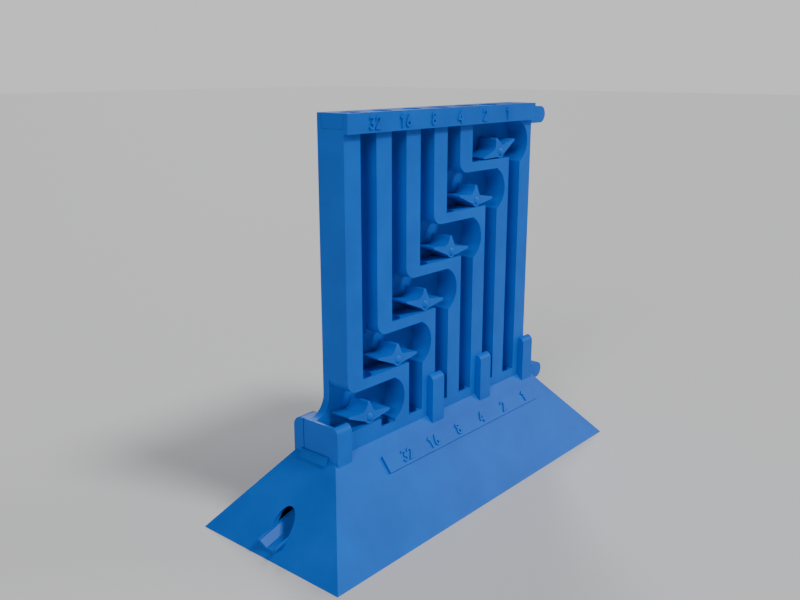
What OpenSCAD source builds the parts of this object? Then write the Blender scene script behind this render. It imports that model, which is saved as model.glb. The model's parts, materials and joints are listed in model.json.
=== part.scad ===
// Binary adding machine: a ball-run adder on a sloped base.
// Six rocking flippers, one for each bit, hang in a staircase of chambers in an upright board.
// X runs to the right, towards the bit worth 1, Y to the back and Z up.
// The origin is the middle of the base, on the table.

/* [Base] */
// Length of the base on the table
base_len = 198; // [180:1:230]
// Depth of the base on the table
base_dep = 78.4; // [70:0.1:110]
// Height of the flat top of the base
base_h = 35.8; // [32:0.1:42]
// How far each side leans in between the table and the flat top
base_lean = 29.1; // [26:0.1:31]
// Thickness of the sloped walls, measured level
base_wall = 3; // [2:0.1:4]
// Thickness of the deck that the clear slider runs on
deck_t = 2.2; // [1.6:0.1:3]

/* [Board] */
// Distance from one bit to the next
pitch = 18; // [17:0.1:20]
// Height step from one bit to the next
drop = 20.5; // [19.5:0.1:22]
// Width of a channel
channel_w = 9; // [8.6:0.1:10]
// Thickness of a chamber's floor
slab_t = 4.3; // [3:0.1:5]
// Height of the board
board_h = 127; // [125:0.5:134]
// Depth of the channels
channel_dep = 10.5; // [9.5:0.1:11.5]
// Thickness of the back plate
plate_t = 3.4; // [2:0.1:5]
// Height of the last chamber's floor above the foot of the board
last_floor_h = 8; // [6:0.1:9]
// Place of the drop line of the bit worth 1
drop_x0 = 41.5; // [40:0.1:43]
// Place of the front of the board
board_front = -9.9; // [-11:0.1:-9]
// Radius of the holes that the balls fall through
hole_r = 4.2; // [4:0.1:4.3]
// Radius of the hollow at the right end of a chamber
hollow_r = 10; // [8:0.1:10.5]
// Radius of the outer corner under each chamber's floor
corner_r = 5.5; // [3:0.1:7]
// Radius of the coves in the back corners of the channels
cove_r = 4.2; // [2:0.1:4.3]
// Radius of the flare at the foot of the back plate
flare_r = 8.6; // [6:0.1:10]

/* [Header] */
// Height of the header
header_h = 7.7; // [7:0.1:9]
// Depth of the header
header_dep = 16; // [15:0.1:18]
// Thickness of the header's floor
header_floor = 1.8; // [1.2:0.1:2.2]
// Thickness of the header's front and back lips
lip_t = 2.2; // [1.6:0.1:2.4]
// How far the header stands out in front of the board
header_proud = 2.1; // [1:0.1:3]

/* [Sliders] */
// Thickness of the slider bars
bar_t = 4.2; // [3:0.1:4.5]
// Running gap round the sliders
slide_gap = 0.15; // [0.1:0.01:0.25]
// Travel of the sliders
travel = 4.5; // [4:0.1:5]
// Width of the clear slider
clear_w = 15.4; // [13:0.1:17]
// Height of the finger knobs
knob_h = 7.8; // [6:0.1:9]
// Length of the release knob
knob_len = 12.4; // [9:0.1:15]
// How far the clear knob reaches past the flat top of the base
clear_knob_len = 18; // [14:0.1:22]

/* [Rockers] */
// Radius of the pivot pins
pin_r = 1.9; // [1.5:0.1:2.2]
// Radial clearance of a rocker on its pin
pin_gap = 0.08; // [0.03:0.01:0.1]
// Wall of the hub round the bore
hub_wall = 0.9; // [0.7:0.1:1]
// Height of the pivot above the chamber's floor
pivot_h = 3; // [3:0.1:4]
// Length of the long arm, which dips over the carry hole
long_arm = 12.7; // [11:0.1:13.2]
// Length of the short arm
short_arm = 11.6; // [9:0.1:12]
// Height of the fin above the pivot
fin_h = 7; // [5:0.1:8]
// Swing of a rocker from one side to the other
swing = 24; // [20:1:30]
// Gap in front of and behind a rocker
rocker_gap = 0.4; // [0.2:0.05:0.6]

/* [Clips] */
// Thickness of the front clips
clip_t = 2.8; // [2:0.1:3.5]
// Width of the clips
clip_w = 8.2; // [6:0.1:8.8]
// Height of the clips above the flat top
clip_h = 19.2; // [14:0.1:24]
// Height of the left end bracket above the flat top
bracket_h = 13.2; // [11:0.1:16]
// Thickness of the bracket's end wall
bracket_wall = 1.4; // [1:0.1:2]
// Place of the back of the clips
clip_back = 12.4; // [11.5:0.1:13]

/* [Chute] */
// Radius of the hole that the balls leave by
exit_r = 5.2; // [5:0.1:5.6]
// Slope of the exit chute
exit_tilt = 16; // [12:1:20]
// Height of the chute's centre line at its mouth
exit_z = 8; // [7.8:0.1:8.4]
// Distance from the chute's flats to its centre line
gutter_r = 4.6; // [4.3:0.1:4.8]
// Thickness of the chute's wall
gutter_t = 1.1; // [0.8:0.1:1.3]

/* [Labels] */
// Height of the figures
digit_h = 5.2; // [4:0.1:6]
// How far the figures stand out
digit_t = 0.6; // [0.3:0.05:1]
// Thickness of the label strip on the front slope
label_t = 1; // [0.6:0.1:1.5]
// Height of the label strip, along the slope
label_h = 7.7; // [7:0.1:9]
// Length of the label strip
label_len = 113; // [108:1:120]

/* [Hidden] */
$fn = 48;

// One overrun for every cut
over = 1;
// Bits, and the blues of the printed plastic
last_bit = 5;
blue = [0.10, 0.42, 0.78];
deep_blue = [0.07, 0.36, 0.70];
pale_blue = [0.36, 0.58, 0.90];

// Base
half_len = base_len / 2;
half_dep = base_dep / 2;
top_half_len = half_len - base_lean;
side_run = base_lean / base_h;
slope_angle = atan2(base_h, base_lean);
slope_len = sqrt(base_h * base_h + base_lean * base_lean);
groove_dep = bar_t;
deck_top = base_h - groove_dep;
cavity_h = deck_top - deck_t;
tab_low_share = 0.915;
tab_t = 1.1;

// Board
board_back = board_front + channel_dep + plate_t;
plate_front = board_front + channel_dep;
board_top = base_h + board_h;
wall_w = pitch - channel_w;
out_gap = 6.5;
ball_y = board_front + 5;
board_right = drop_x0 + out_gap + channel_w + wall_w;
hollow_x = 11.5;
hollow_z = 6.7;
bracket_out = 0.1;
board_left = drop_x(last_bit - 1) - 2 * channel_w - channel_w / 2 - wall_w;
bracket_left = drop_x(last_bit) - channel_w / 2 - pitch - bracket_out;

// Header
header_left = board_left;
header_front = board_front - header_proud;
header_back = header_front + header_dep;
header_top = board_top + header_h;
slot_z = board_top + header_floor;

// Sliders
release_front = header_front + lip_t + slide_gap;
release_back = header_back - lip_t - slide_gap;
release_z = slot_z + slide_gap / 2;
release_top = header_top;
release_knob_top = release_z + bar_t - slide_gap;
knob_r = knob_h / 2;
clear_left = out_left(last_bit) - pitch;
clear_z = deck_top + slide_gap;
clear_top = base_h - slide_gap;
clear_knob_x = top_half_len + clear_knob_len;
clear_knob_r = knob_r + slide_gap;

// Rockers
rocker_front = board_front + rocker_gap;
rocker_back = plate_front - rocker_gap;
bore_r = pin_r + pin_gap;
hub_r = bore_r + hub_wall;
long_angle = 165.5;
short_angle = 0;
long_root_share = 0.8;
short_root_share = 0.85;
tip_r = 0.5;
short_tip_r = 0.65;
fin_tip_w = 1.4;
cradle_r = 4.3;
cradle_arc = 80;
fin_foot = [2.3, 2.2];
dome_h = 0.9;
dome_seat = 0.35;

// Clips
clip_round = clip_t;
back_round = 4.4;
clip_low = deck_top;
seam_w = 0.4;
seam_y = 6.7;
clip_xs = [drop_x(2) - pitch / 2 - 3.3, drop_x(0) - 12, board_right];

// Chute
mouth_x = 0.5 - half_len;
gutter_step = gutter_r + gutter_t;
gutter_rim = -1.5;
chute_len = 32.8;
floor_low_z = 13;
floor_high_z = 19;
floor_t = 2;
floor_reach = top_half_len - wall_w / 2;
valley_share = 0.2;

// Labels
label_up_share = 0.67;
label_mid = 8.5;
stroke = 0.16;
figure_shift = 2.6;
figure_text = [[1], [2], [4], [8], [1, 6], [3, 2]];

// Places that repeat from bit to bit
function drop_x(k) = drop_x0 - pitch * k;
function floor_z(k) = base_h + last_floor_h + drop * (last_bit - k);
function out_left(k) = drop_x(k) + out_gap;
function out_mid(k) = out_left(k) + channel_w / 2;
function pivot_z(k) = floor_z(k) + pivot_h;
function slope_x(z) = half_len - side_run * z;
// Points of an arc about (x, z)
function arc(x, z, r, from, to, steps) =
    [for (i = [0:steps]) [x + r * cos(from + (to - from) * i / steps),
                          z + r * sin(from + (to - from) * i / steps)]];

// A flat outline in X and Z, drawn out from y1 back to y2
module upright(y1, y2) {
    translate([0, y2, 0]) rotate([90, 0, 0]) linear_extrude(y2 - y1) children();
}

// A box between two corners
module block(low, high) {
    translate(low) cube(high - low);
}

// A pyramid with its top cut off, with half sizes at the table and a height
module frustum(half_x, half_y, h) {
    lean = side_run * h;
    intersection() {
        upright(-half_y, half_y)
            polygon([[-half_x, 0], [half_x, 0], [half_x - lean, h], [lean - half_x, h]]);
        translate([-half_x, 0, 0]) rotate([90, 0, 90]) linear_extrude(2 * half_x)
            polygon([[-half_y, 0], [half_y, 0], [half_y - lean, h], [lean - half_y, h]]);
    }
}

module cavity() {
    frustum(half_len - base_wall, half_dep - base_wall, cavity_h);
}

// What lies along the exit chute: Z runs up the chute from its mouth
module along_chute() {
    translate([mouth_x, 0, exit_z]) rotate([0, 90 - exit_tilt, 0]) children();
}

// Lower half of an octagon, at the given distance from its flats
module half_octagon(flat_r) {
    intersection() {
        rotate(180 / 8) circle(r = flat_r / cos(180 / 8), $fn = 8);
        translate([-gutter_rim, -2 * gutter_step]) square([2 * gutter_step, 4 * gutter_step]);
    }
}

// A clip in front of the board, with its outer top edge rounded
module front_clip(left, right, h) {
    top = base_h + h;
    front = board_front - clip_t;
    difference() {
        block([left, front, clip_low], [right, board_front, top]);
        translate([left - over, front + clip_round, top - clip_round]) rotate([0, 90, 0])
            difference() {
                translate([-clip_round - over, -clip_round - over, 0])
                    cube([clip_round + over, clip_round + over, right - left + 2 * over]);
                translate([0, 0, -over]) cylinder(r = clip_round, h = right - left + 4 * over);
            }
    }
}

// A clip behind the board
module back_clip(left, right, h) {
    top = base_h + h;
    difference() {
        block([left, board_back, clip_low], [right, clip_back, top]);
        translate([left - over, clip_back - back_round, top - back_round]) rotate([0, 90, 0])
            difference() {
                translate([-back_round - over, 0, 0])
                    cube([back_round + over, back_round + over, right - left + 2 * over]);
                translate([0, 0, -over]) cylinder(r = back_round, h = right - left + 4 * over);
            }
    }
}

// The end wall that closes the last chamber
module end_wall() {
    top = base_h + bracket_h;
    block([bracket_left, board_front - clip_t + clip_round, clip_low],
          [bracket_left + bracket_wall, clip_back - back_round, top]);
    block([bracket_left, board_front - clip_t, clip_low],
          [bracket_left + bracket_wall, board_front, top - clip_round]);
    block([bracket_left, board_back, clip_low],
          [bracket_left + bracket_wall, clip_back, top - back_round]);
}

// The bulge in the left slope that leaves a wall round the overflow hole
module overflow_tab() {
    low = base_h * tab_low_share;
    upright(-clear_w / 2, clear_w / 2)
        polygon([[-slope_x(low), low], [-slope_x(low) - tab_t, low],
                 [bracket_left - tab_t / 2, base_h], [bracket_left + tab_t, base_h],
                 [bracket_left + 2 * tab_t, low]]);
}

module base_shell() {
    color(blue) difference() {
        union() {
            frustum(half_len, half_dep, base_h);
            overflow_tab();
            end_wall();
            front_clip(bracket_left, bracket_left + clip_w, bracket_h);
            back_clip(bracket_left, bracket_left + clip_w, bracket_h);
            for (x = clip_xs) {
                front_clip(x - clip_w / 2, x + clip_w / 2, clip_h);
                back_clip(x - clip_w / 2, x + clip_w / 2, clip_h);
            }
        }
        translate([0, 0, -over]) frustum(half_len - base_wall + side_run * over,
            half_dep - base_wall + side_run * over, cavity_h + over);
        block([clear_left - slide_gap, -clear_w / 2 - slide_gap, deck_top],
              [half_len, clear_w / 2 + slide_gap, base_h + over]);
        for (k = [0:last_bit])
            translate([out_mid(k), ball_y, cavity_h - over])
                cylinder(r = hole_r, h = base_h);
        translate([drop_x(last_bit + 1), ball_y, cavity_h - over])
            cylinder(r = hole_r, h = groove_dep + deck_t + 2 * over);
        block([bracket_left - over, seam_y - seam_w / 2, base_h],
              [bracket_left + seam_w, seam_y + seam_w / 2, header_top]);
        along_chute() translate([0, 0, -chute_len / 4]) {
            cylinder(r = exit_r, h = chute_len);
            linear_extrude(chute_len) half_octagon(gutter_step);
        }
    }
}

// Valley floor that brings the balls to the left
module return_floor() {
    run = floor_reach * 2;
    side = half_dep;
    rise = side * valley_share;
    fall = atan2(floor_high_z - floor_low_z, run);
    color(deep_blue) intersection() {
        cavity();
        block([-floor_reach, -side, 0], [floor_reach, side, cavity_h]);
        translate([-floor_reach - over, 0, floor_low_z]) rotate([90, 0, 90])
            rotate([-fall, 0, 0]) translate([0, 0, -2 * over]) linear_extrude(run + base_len / 4)
            polygon([[-side, rise], [0, 0], [side, rise], [side, rise - floor_t],
                     [0, -floor_t], [-side, rise - floor_t]]);
    }
}

module exit_chute() {
    color(pale_blue) along_chute() linear_extrude(chute_len) difference() {
        half_octagon(gutter_step);
        half_octagon(gutter_r);
        translate([-gutter_rim - over, -gutter_r])
            square([over + slide_gap, 2 * gutter_r]);
    }
}

// The frame of the front slope: X along it, Y up it and Z out of it
module on_slope() {
    translate([0, -half_dep, 0]) rotate([slope_angle, 0, 0]) children();
}

module label_strip() {
    color(pale_blue) on_slope()
        translate([label_mid - label_len / 2, slope_len * label_up_share, 0])
            cube([label_len, label_h, label_t]);
}

// Part of a ring between two angles, for the figures
module bow(r, w, from, to) {
    intersection() {
        difference() {
            circle(r);
            circle(r - w);
        }
        polygon(concat([[0, 0]], arc(0, 0, 2 * r, from, to, 8)));
    }
}

// A straight stroke between two points, with square ends
module bar2d(a, b, w) {
    d = b - a;
    translate(a) rotate(atan2(d[1], d[0])) translate([0, -w / 2]) square([norm(d), w]);
}

// One figure, one unit high, standing on the origin
module figure(n) {
    s = stroke;
    low_r = 0.29;
    top_r = 0.25;
    if (n == 1) {
        translate([-s / 2, 0]) square([s, 1]);
        bar2d([-0.24, 0.72], [0, 0.93], s);
    }
    if (n == 2) {
        translate([0, 1 - low_r]) bow(low_r, s, -35, 180);
        bar2d([low_r - 0.09, 0.62], [-low_r + 0.07, s / 2], s);
        translate([-low_r, 0]) square([2 * low_r, s]);
    }
    if (n == 3) {
        translate([0, low_r]) bow(low_r, s, -170, 90);
        translate([0, 1 - top_r]) bow(top_r, s, -90, 165);
        translate([-s / 2, 2 * low_r - s]) square([s / 2, s]);
    }
    if (n == 4) {
        translate([0.06, 0]) square([s, 1]);
        translate([-0.34, 0.22]) square([0.68, s]);
        bar2d([-0.28, 0.3], [0.1, 0.95], s);
    }
    if (n == 6) {
        translate([0, low_r]) bow(low_r, s, 0, 180);
        translate([0, low_r]) bow(low_r, s, 180, 360);
        bar2d([s / 2 - low_r, low_r], [0.02, 1 - s / 4], s);
    }
    if (n == 8) {
        translate([0, low_r]) bow(low_r, s, 0, 180);
        translate([0, low_r]) bow(low_r, s, 180, 360);
        translate([0, 1 - top_r]) bow(top_r, s, 0, 180);
        translate([0, 1 - top_r]) bow(top_r, s, 180, 360);
    }
}

// The value of bit k, centred on the origin
module value(k) {
    n = len(figure_text[k]);
    step = 0.72;
    scale(digit_h) for (i = [0:n - 1])
        translate([(i - (n - 1) / 2) * step, -1 / 2]) figure(figure_text[k][i]);
}

module base_figures() {
    color(blue) on_slope() for (k = [0:last_bit])
        translate([out_mid(k) + figure_shift, slope_len * label_up_share + label_h / 2, label_t])
            linear_extrude(digit_t) value(k);
}

// Back plate with the flare at its lower left corner
module back_plate() {
    left = bracket_left + bracket_wall;
    color(blue) upright(plate_front, board_back) {
        translate([board_left, base_h]) square([board_right - board_left, board_h]);
        difference() {
            translate([left, base_h])
                square([board_left - left, bracket_h + flare_r]);
            translate([board_left - flare_r, base_h + bracket_h + flare_r]) circle(flare_r);
            translate([left - over, base_h + bracket_h])
                square([board_left - flare_r - left + over, flare_r + over]);
        }
    }
}

// Foot of the board: the floor of the six output channels, with a hole in each
module floor_rail() {
    color(blue) difference() {
        block([out_left(last_bit), board_front, base_h],
              [board_right, plate_front, base_h + slab_t]);
        for (k = [0:last_bit])
            translate([out_mid(k), ball_y, base_h - over])
                cylinder(r = hole_r, h = slab_t + 2 * over);
    }
}

// Block under the last chamber, with the overflow hole
module overflow_block() {
    color(blue) difference() {
        block([bracket_left + bracket_wall, board_front, base_h],
              [out_left(last_bit), plate_front, floor_z(last_bit)]);
        translate([drop_x(last_bit + 1), ball_y, base_h - over])
            cylinder(r = hole_r, h = last_floor_h + 2 * over);
    }
}

// Z-shaped wall between bit k and the next: upper wall, chamber floor and lower wall
module divider(k) {
    left = drop_x(k + 1) - channel_w / 2 - wall_w;
    right = out_left(k);
    low = floor_z(k) - slab_t;
    color(blue) difference() {
        upright(board_front, plate_front) difference() {
            union() {
                translate([left + corner_r, low]) square([right - left - corner_r, slab_t]);
                translate([left, low + corner_r]) square([wall_w, board_top - low - corner_r]);
                translate([left + corner_r, low]) square([wall_w - corner_r, corner_r]);
                intersection() {
                    translate([left, low]) square(corner_r);
                    translate([left + corner_r, low + corner_r]) circle(corner_r);
                }
                translate([right - wall_w, base_h + slab_t])
                    square([wall_w, low - base_h - slab_t + slab_t / 2]);
            }
            intersection() {
                translate([drop_x(k + 1) + hollow_x, floor_z(k + 1) + hollow_z])
                    circle(hollow_r);
                translate([drop_x(k + 1), base_h]) square([pitch + wall_w, low - base_h]);
            }
        }
        translate([drop_x(k + 1), ball_y, low - over])
            cylinder(r = hole_r, h = slab_t + 2 * over);
    }
}

// Wall at the right end of the board
module side_wall() {
    color(blue) upright(board_front, plate_front) difference() {
        translate([board_right - wall_w, base_h + slab_t])
            square([wall_w, board_h - slab_t]);
        translate([drop_x(0) + hollow_x, floor_z(0) + hollow_z]) circle(hollow_r);
    }
}

// A pair of coves in the back corners of one channel, between two heights
module cove_pair(x, low, high) {
    if (high > low) for (side = [-1, 1])
        translate([x + side * channel_w / 2, plate_front, low]) mirror([side > 0 ? 1 : 0, 0, 0])
            linear_extrude(high - low) difference() {
                translate([0, -cove_r]) square(cove_r);
                translate([cove_r, -cove_r]) circle(cove_r);
            }
}

module channel_coves() {
    color(deep_blue) {
        for (k = [1:last_bit])
            cove_pair(drop_x(k), floor_z(k - 1) + drop - slab_t, board_top);
        for (k = [0:last_bit])
            cove_pair(out_mid(k), base_h + slab_t, floor_z(k) - slab_t);
    }
}

module header() {
    color(blue) difference() {
        block([header_left, header_front, board_top], [board_right, header_back, header_top]);
        block([header_left - over, header_front + lip_t, slot_z],
              [board_right + over, header_back - lip_t, header_top + over]);
        for (k = [0:last_bit])
            translate([drop_x(k), ball_y, board_top - over])
                cylinder(r = hole_r, h = header_floor + 2 * over);
    }
}

module header_figures() {
    color(pale_blue) for (k = [0:last_bit])
        translate([drop_x(k) + figure_shift / 2, header_front, board_top + header_h / 2])
            rotate([90, 0, 0]) linear_extrude(digit_t) value(k);
}

// Pin that a rocker turns on, with a domed end
module pivot_pin(k) {
    color(pale_blue) translate([drop_x(k), plate_front, pivot_z(k)]) rotate([90, 0, 0])
        rotate_extrude() {
            square([pin_r, channel_dep - dome_seat]);
            intersection() {
                translate([0, channel_dep - dome_seat]) square([pin_r, dome_h]);
                translate([0, channel_dep - dome_seat + dome_h - dome_r()]) circle(dome_r());
            }
        }
}
function dome_r() = (pin_r * pin_r + dome_h * dome_h) / (2 * dome_h);

// An arm of a rocker: tapers from its root at the pivot to a round tip
module arm(len, angle, root, tip) {
    rotate(angle) {
        polygon([[0, -root], [len, -tip], [len, tip], [0, root]]);
        translate([len, 0]) circle(tip);
    }
}

// Fin of a rocker: hollowed on the left to cradle a ball, straight on the right
module fin() {
    cradle = [-fin_tip_w - cradle_r, fin_h];
    polygon(concat([[0, fin_h]],
        [for (a = [0:10:cradle_arc]) cradle + cradle_r * [cos(a), -sin(a)]],
        [[-hub_r, 0], [hub_r - hub_wall, 0], fin_foot]));
}

// Rocker of bit k: two arms and a fin round a bored hub
module rocker(k, turn) {
    depth = rocker_back - rocker_front;
    color(k == 0 ? pale_blue : blue)
        translate([drop_x(k), rocker_back, pivot_z(k)]) rotate([90, 0, 0]) rotate(turn)
        difference() {
            union() {
                cylinder(h = depth, r = hub_r);
                linear_extrude(depth) arm(long_arm, long_angle, hub_r * long_root_share, tip_r);
                linear_extrude(depth) arm(short_arm, short_angle, hub_r * short_root_share, short_tip_r);
                linear_extrude(depth) fin();
            }
            translate([0, 0, -over]) cylinder(h = depth + 2 * over, r = bore_r);
        }
}

// A slider's knob: an outline with a round right end, at x, between two heights
module knob_outline(left_top, left_low, right, top, r) {
    polygon(concat([[left_low, top - 2 * r]], [[left_top, top]],
                   arc(right - r, top - r, r, 90, -90, 24)));
}

module release_slider() {
    color(pale_blue) {
        difference() {
            block([header_left, release_front, release_z],
                  [board_right + slide_gap, release_back, release_top]);
            for (k = [0:last_bit])
                translate([drop_x(k) - travel, ball_y, release_z - over])
                    cylinder(r = hole_r, h = release_top - release_z + 2 * over);
        }
        upright(release_front, release_back)
            knob_outline(board_right + slide_gap, board_right + slide_gap,
                         board_right + knob_len, release_knob_top, knob_r);
    }
}

module clear_slider() {
    low = clear_top - 2 * clear_knob_r;
    color(pale_blue) {
        difference() {
            block([clear_left, -clear_w / 2, clear_z],
                  [slope_x(clear_z) + slide_gap, clear_w / 2, clear_top]);
            for (k = [0:last_bit])
                translate([out_mid(k) - travel, ball_y, clear_z - over])
                    cylinder(r = hole_r, h = bar_t + 2 * over);
        }
        upright(-clear_w / 2, clear_w / 2)
            knob_outline(slope_x(clear_top) + 2 * slide_gap, slope_x(low) + 2 * slide_gap,
                         clear_knob_x, clear_top, clear_knob_r);
    }
}

base_shell();
return_floor();
exit_chute();
label_strip();
base_figures();
back_plate();
floor_rail();
overflow_block();
divider(0);  // divider_1
divider(1);  // divider_2
divider(2);  // divider_4
divider(3);  // divider_8
divider(4);  // divider_16
side_wall();
channel_coves();
header();
header_figures();
pivot_pin(0);  // pivot_pin_1
pivot_pin(1);  // pivot_pin_2
pivot_pin(2);  // pivot_pin_4
pivot_pin(3);  // pivot_pin_8
pivot_pin(4);  // pivot_pin_16
pivot_pin(5);  // pivot_pin_32
rocker(0, swing);  // rocker_1
rocker(1, 0);  // rocker_2
rocker(2, 0);  // rocker_4
rocker(3, 0);  // rocker_8
rocker(4, 0);  // rocker_16
rocker(5, 0);  // rocker_32
release_slider();
clear_slider();
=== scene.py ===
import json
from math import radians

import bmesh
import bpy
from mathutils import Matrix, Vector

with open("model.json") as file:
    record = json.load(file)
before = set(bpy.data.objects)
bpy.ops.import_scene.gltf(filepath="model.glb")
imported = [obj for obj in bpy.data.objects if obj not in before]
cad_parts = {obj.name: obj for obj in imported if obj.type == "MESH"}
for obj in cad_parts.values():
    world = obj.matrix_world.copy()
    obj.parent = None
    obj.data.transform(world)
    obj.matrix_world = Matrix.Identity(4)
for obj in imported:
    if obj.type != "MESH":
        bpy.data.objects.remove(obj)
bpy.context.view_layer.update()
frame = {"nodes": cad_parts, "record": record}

# %% [markdown]
# This notebook dresses a desk toy that adds binary numbers with rolling balls.
# A blue printed board of channels stands on a hollow sloped base, and small
# rockers in it flip as balls pass. The measured model is already loaded as a
# fixed frame, so the first step only takes what later cells use from it.

MM = 0.001
nodes = frame["nodes"]

# %% [markdown]
# The picture looks at the machine from its front left corner and from a
# little above, with the camera close enough for the far end to look smaller.
# A camera could also be turned with angles, but an eye point and a direction
# are easier to measure. A track quaternion turns the direction into a
# rotation that keeps the camera level.

# %% Camera
EYE = Vector((-0.29697, -0.23897, 0.18727))
LOOK = Vector((0.73313, 0.62913, -0.25828))
LENS = 39.376
SENSOR_WIDTH = 36
NEAREST_SEEN = 10 * MM

camera_data = bpy.data.cameras.new("camera")
camera_data.lens = LENS
camera_data.sensor_width = SENSOR_WIDTH
camera_data.clip_start = NEAREST_SEEN
camera = bpy.data.objects.new("camera", camera_data)
camera.location = EYE
camera.rotation_mode = "QUATERNION"
camera.rotation_quaternion = LOOK.to_track_quat("-Z", "Y")
bpy.context.scene.collection.objects.link(camera)
bpy.context.scene.camera = camera
print("camera at, mm:", [round(v / MM) for v in EYE])

# %% [markdown]
# Every part is the same satin blue plastic, laid down in thin layers by a
# printer. Its finish is built from shader nodes, and two small helpers save
# repeating the same lines for each of them. The second makes a noise pattern,
# which every uneven thing in this finish starts from.

# %% Helpers for shader nodes
def add_node(tree, kind, place):
    made = tree.nodes.new(kind)
    made.location = place
    return made


def add_noise(tree, place, coordinates, scale, detail):
    made = add_node(tree, "ShaderNodeTexNoise", place)
    made.inputs["Scale"].default_value = scale
    made.inputs["Detail"].default_value = detail
    tree.links.new(coordinates, made.inputs["Vector"])
    return made.outputs["Fac"]


# %% [markdown]
# From a step away, printed plastic has patches where its blue is a little
# darker and its surface a little duller. One soft noise drives both, because
# on the real surface they come together: a colour ramp turns it into a blue
# and a map range turns it into a roughness.

# %% Patches in the plastic
BLUE = (0.0005, 0.120, 0.580)
BLUE_SPREAD = 0.1
ROUGHNESS_SPREAD = 0.05
PATCHES_PER_METRE = 45
PATCH_DETAIL = 3
DARK_END, LIGHT_END = 0.3, 0.7


def add_patches(tree, coordinates, skin, roughness):
    patches = add_noise(tree, (-600, 300), coordinates, PATCHES_PER_METRE, PATCH_DETAIL)
    tint = add_node(tree, "ShaderNodeValToRGB", (-300, 300))
    dark, light = tint.color_ramp.elements
    dark.position = DARK_END
    dark.color = (*((1 - BLUE_SPREAD) * c for c in BLUE), 1)
    light.position = LIGHT_END
    light.color = (*((1 + BLUE_SPREAD) * c for c in BLUE), 1)
    tree.links.new(patches, tint.inputs["Fac"])
    tree.links.new(tint.outputs["Color"], skin.inputs["Base Color"])
    dull = add_node(tree, "ShaderNodeMapRange", (-300, 0))
    dull.inputs["To Min"].default_value = roughness - ROUGHNESS_SPREAD
    dull.inputs["To Max"].default_value = roughness + ROUGHNESS_SPREAD
    tree.links.new(patches, dull.inputs["Value"])
    tree.links.new(dull.outputs["Result"], skin.inputs["Roughness"])


# %% [markdown]
# Close up, the printer's layers show as faint level lines. They could be a
# wave pattern, but real layers vary, so a noise is squeezed flat instead: it
# changes fast going up and hardly at all going sideways. A little fine grain
# is mixed in, and both only tilt the surface through a bump.

# %% Layer lines and grain
SIDEWAYS_SQUEEZE = 0.02
LINE_DETAIL = 1
GRAINS_PER_METRE = 2500
GRAIN_DETAIL = 2
GRAIN_SHARE = 0.35
BUMP_STRENGTH = 0.15
BUMP_HEIGHT = 0.05 * MM


def add_layers(tree, coordinates, skin, layer):
    flatten = add_node(tree, "ShaderNodeMapping", (-600, -300))
    flatten.inputs["Scale"].default_value = (SIDEWAYS_SQUEEZE, SIDEWAYS_SQUEEZE, 1)
    tree.links.new(coordinates, flatten.inputs["Vector"])
    lines = add_noise(tree, (-400, -300), flatten.outputs["Vector"], 1 / layer, LINE_DETAIL)
    grain = add_noise(tree, (-400, -550), coordinates, GRAINS_PER_METRE, GRAIN_DETAIL)
    both = add_node(tree, "ShaderNodeMix", (-150, -400))
    both.inputs["Factor"].default_value = GRAIN_SHARE
    tree.links.new(lines, both.inputs["A"])
    tree.links.new(grain, both.inputs["B"])
    bump = add_node(tree, "ShaderNodeBump", (80, -300))
    bump.inputs["Strength"].default_value = BUMP_STRENGTH
    bump.inputs["Distance"].default_value = BUMP_HEIGHT
    tree.links.new(both.outputs["Result"], bump.inputs["Height"])
    tree.links.new(bump.outputs["Normal"], skin.inputs["Normal"])


# %% [markdown]
# The finish itself is one principled shader with a low specular level, since
# the plastic is satin. All its patterns read Object coordinates, so they stay
# put on a part that moves. A shift along the pattern keeps two families of
# parts from showing the same patches.

# %% Printed plastic
PLASTIC_IOR = 1.5
PLASTIC_SPECULAR = 0.14
SHIFT_WAY = Vector((1.0, 0.7, 0.3))


def printed_plastic(name, roughness, layer, shift):
    made = bpy.data.materials.new(name)
    made.use_nodes = True
    tree = made.node_tree
    tree.nodes.clear()
    out = add_node(tree, "ShaderNodeOutputMaterial", (600, 0))
    skin = add_node(tree, "ShaderNodeBsdfPrincipled", (300, 0))
    skin.inputs["IOR"].default_value = PLASTIC_IOR
    skin.inputs["Specular IOR Level"].default_value = PLASTIC_SPECULAR
    tree.links.new(skin.outputs["BSDF"], out.inputs["Surface"])
    place = add_node(tree, "ShaderNodeTexCoord", (-1100, 0))
    moved = add_node(tree, "ShaderNodeMapping", (-900, 0))
    moved.inputs["Location"].default_value = shift * SHIFT_WAY
    tree.links.new(place.outputs["Object"], moved.inputs["Vector"])
    add_patches(tree, moved.outputs["Vector"], skin, roughness)
    add_layers(tree, moved.outputs["Vector"], skin, layer)
    print("finish", name, "with", len(tree.nodes), "shader nodes")
    return made


# %% [markdown]
# The board and base are printed with the thickest layers. The rockers,
# slides and figures have finer ones, and the rubbing surfaces of rockers and
# slides are a little smoother. The record says which finish each part of the
# frame takes, so a loop gives every node its own one.

# %% Finishes on the frame's parts
plastics = {
    "frame_plastic": printed_plastic("board_plastic", roughness=0.42, layer=0.35 * MM, shift=0.0),
    "rocker_plastic": printed_plastic("rocker_plastic", roughness=0.38, layer=0.25 * MM, shift=0.3),
    "slider_plastic": printed_plastic("slider_plastic", roughness=0.36, layer=0.3 * MM, shift=0.6),
    "figure_plastic": printed_plastic("figure_plastic", roughness=0.42, layer=0.25 * MM, shift=0.9),
}
for row in frame["record"]["subparts"]:
    mesh = nodes[row["node"]].data
    mesh.materials.clear()
    mesh.materials.append(plastics[row["material_slot"]])
print("parts with a finish:", len(nodes))
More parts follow.
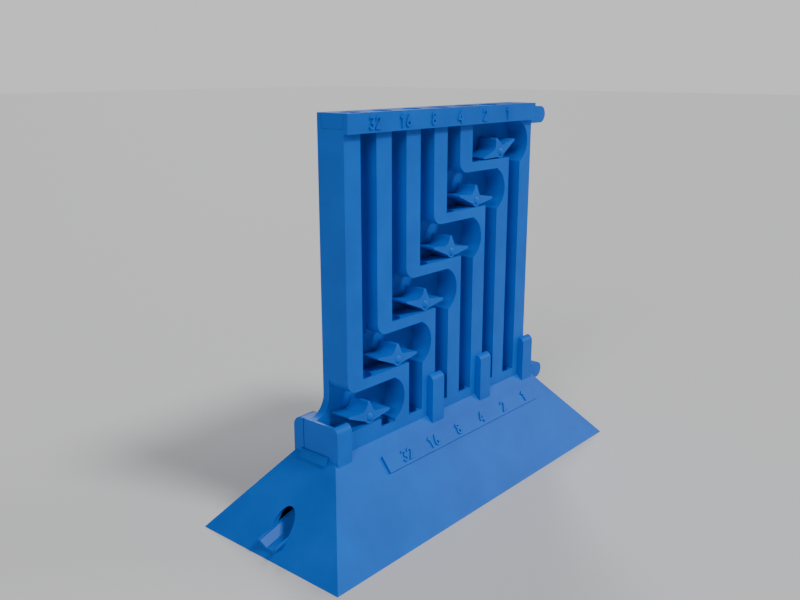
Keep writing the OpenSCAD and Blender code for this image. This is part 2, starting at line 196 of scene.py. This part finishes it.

# %% [markdown]
# The machine stands on a plain pale floor that runs far enough back to fill
# the picture. A single square from a grid operator is enough for it, set a
# hair below the base so that the two surfaces don't share a plane.

# %% Floor
FLOOR_SIDE = 12.0
FLOOR_DROP = 0.1 * MM
FLOOR_GREY = 0.64
FLOOR_ROUGHNESS = 0.8

floor_form = bmesh.new()
bmesh.ops.create_grid(floor_form, x_segments=1, y_segments=1, size=FLOOR_SIDE / 2)
floor_mesh = bpy.data.meshes.new("floor")
floor_form.to_mesh(floor_mesh)
floor_form.free()
floor = bpy.data.objects.new("floor", floor_mesh)
floor.location.z = -FLOOR_DROP
bpy.context.scene.collection.objects.link(floor)
paper = bpy.data.materials.new("pale_floor")
paper.use_nodes = True
paper_skin = paper.node_tree.nodes["Principled BSDF"]
paper_skin.inputs["Base Color"].default_value = (FLOOR_GREY, FLOOR_GREY, FLOOR_GREY, 1)
paper_skin.inputs["Roughness"].default_value = FLOOR_ROUGHNESS
floor_mesh.materials.append(paper)
print("floor side, m:", FLOOR_SIDE)

# %% [markdown]
# Area lamps near a small object leave the far floor dark, so the lamps are
# suns, which light it evenly, and a wide angle makes each one's shadows soft.
# The key lamp comes from above the front and casts the header's shadow on the
# channels. A low one from the right is mirrored by the sloped front of the
# base and turns it pale, and two more light the back and the left end.

# %% Lamps
LAMPS = {
    "slope_lamp": {"towards": (0.76, -0.50, 0.42), "softness": 24, "strength": 0.65},
    "key_lamp": {"towards": (0.15, -0.62, 0.77), "softness": 14, "strength": 2.0},
    "rim_lamp": {"towards": (0.55, 0.60, 0.58), "softness": 16, "strength": 1.1},
    "left_lamp": {"towards": (-0.85, -0.30, 0.45), "softness": 22, "strength": 1.2},
}


def add_sun(name, towards, softness, strength):
    data = bpy.data.lights.new(name, "SUN")
    data.angle = radians(softness)
    data.energy = strength
    made = bpy.data.objects.new(name, data)
    made.location = towards
    made.rotation_mode = "QUATERNION"
    made.rotation_quaternion = (-made.location).to_track_quat("-Z", "Y")
    bpy.context.scene.collection.objects.link(made)


for name, settings in LAMPS.items():
    add_sun(name, **settings)
print("lamps:", *LAMPS)

# %% [markdown]
# A weak, slightly blue world lights the recesses, so that they don't go
# black. Seen straight from the camera it would look too dark for a studio
# wall, so a light path node shows the camera a pale grey there instead.

# %% World
AMBIENT_COLOUR = (0.9, 0.93, 1.0, 1)
AMBIENT_STRENGTH = 0.09
BACKDROP_GREY = 0.76

world = bpy.data.worlds.new("studio")
world.use_nodes = True
world_tree = world.node_tree
ambient = world_tree.nodes["Background"]
ambient.inputs["Color"].default_value = AMBIENT_COLOUR
ambient.inputs["Strength"].default_value = AMBIENT_STRENGTH
backdrop = add_node(world_tree, "ShaderNodeBackground", (0, -200))
backdrop.inputs["Color"].default_value = (BACKDROP_GREY, BACKDROP_GREY, BACKDROP_GREY, 1)
seen = add_node(world_tree, "ShaderNodeLightPath", (0, 300))
choose = add_node(world_tree, "ShaderNodeMixShader", (300, 0))
shader_if_lit, shader_if_seen = choose.inputs[1], choose.inputs[2]
world_tree.links.new(seen.outputs["Is Camera Ray"], choose.inputs["Fac"])
world_tree.links.new(ambient.outputs["Background"], shader_if_lit)
world_tree.links.new(backdrop.outputs["Background"], shader_if_seen)
world_tree.links.new(choose.outputs["Shader"], world_tree.nodes["World Output"].inputs["Surface"])
bpy.context.scene.world = world
print("world strength:", AMBIENT_STRENGTH)
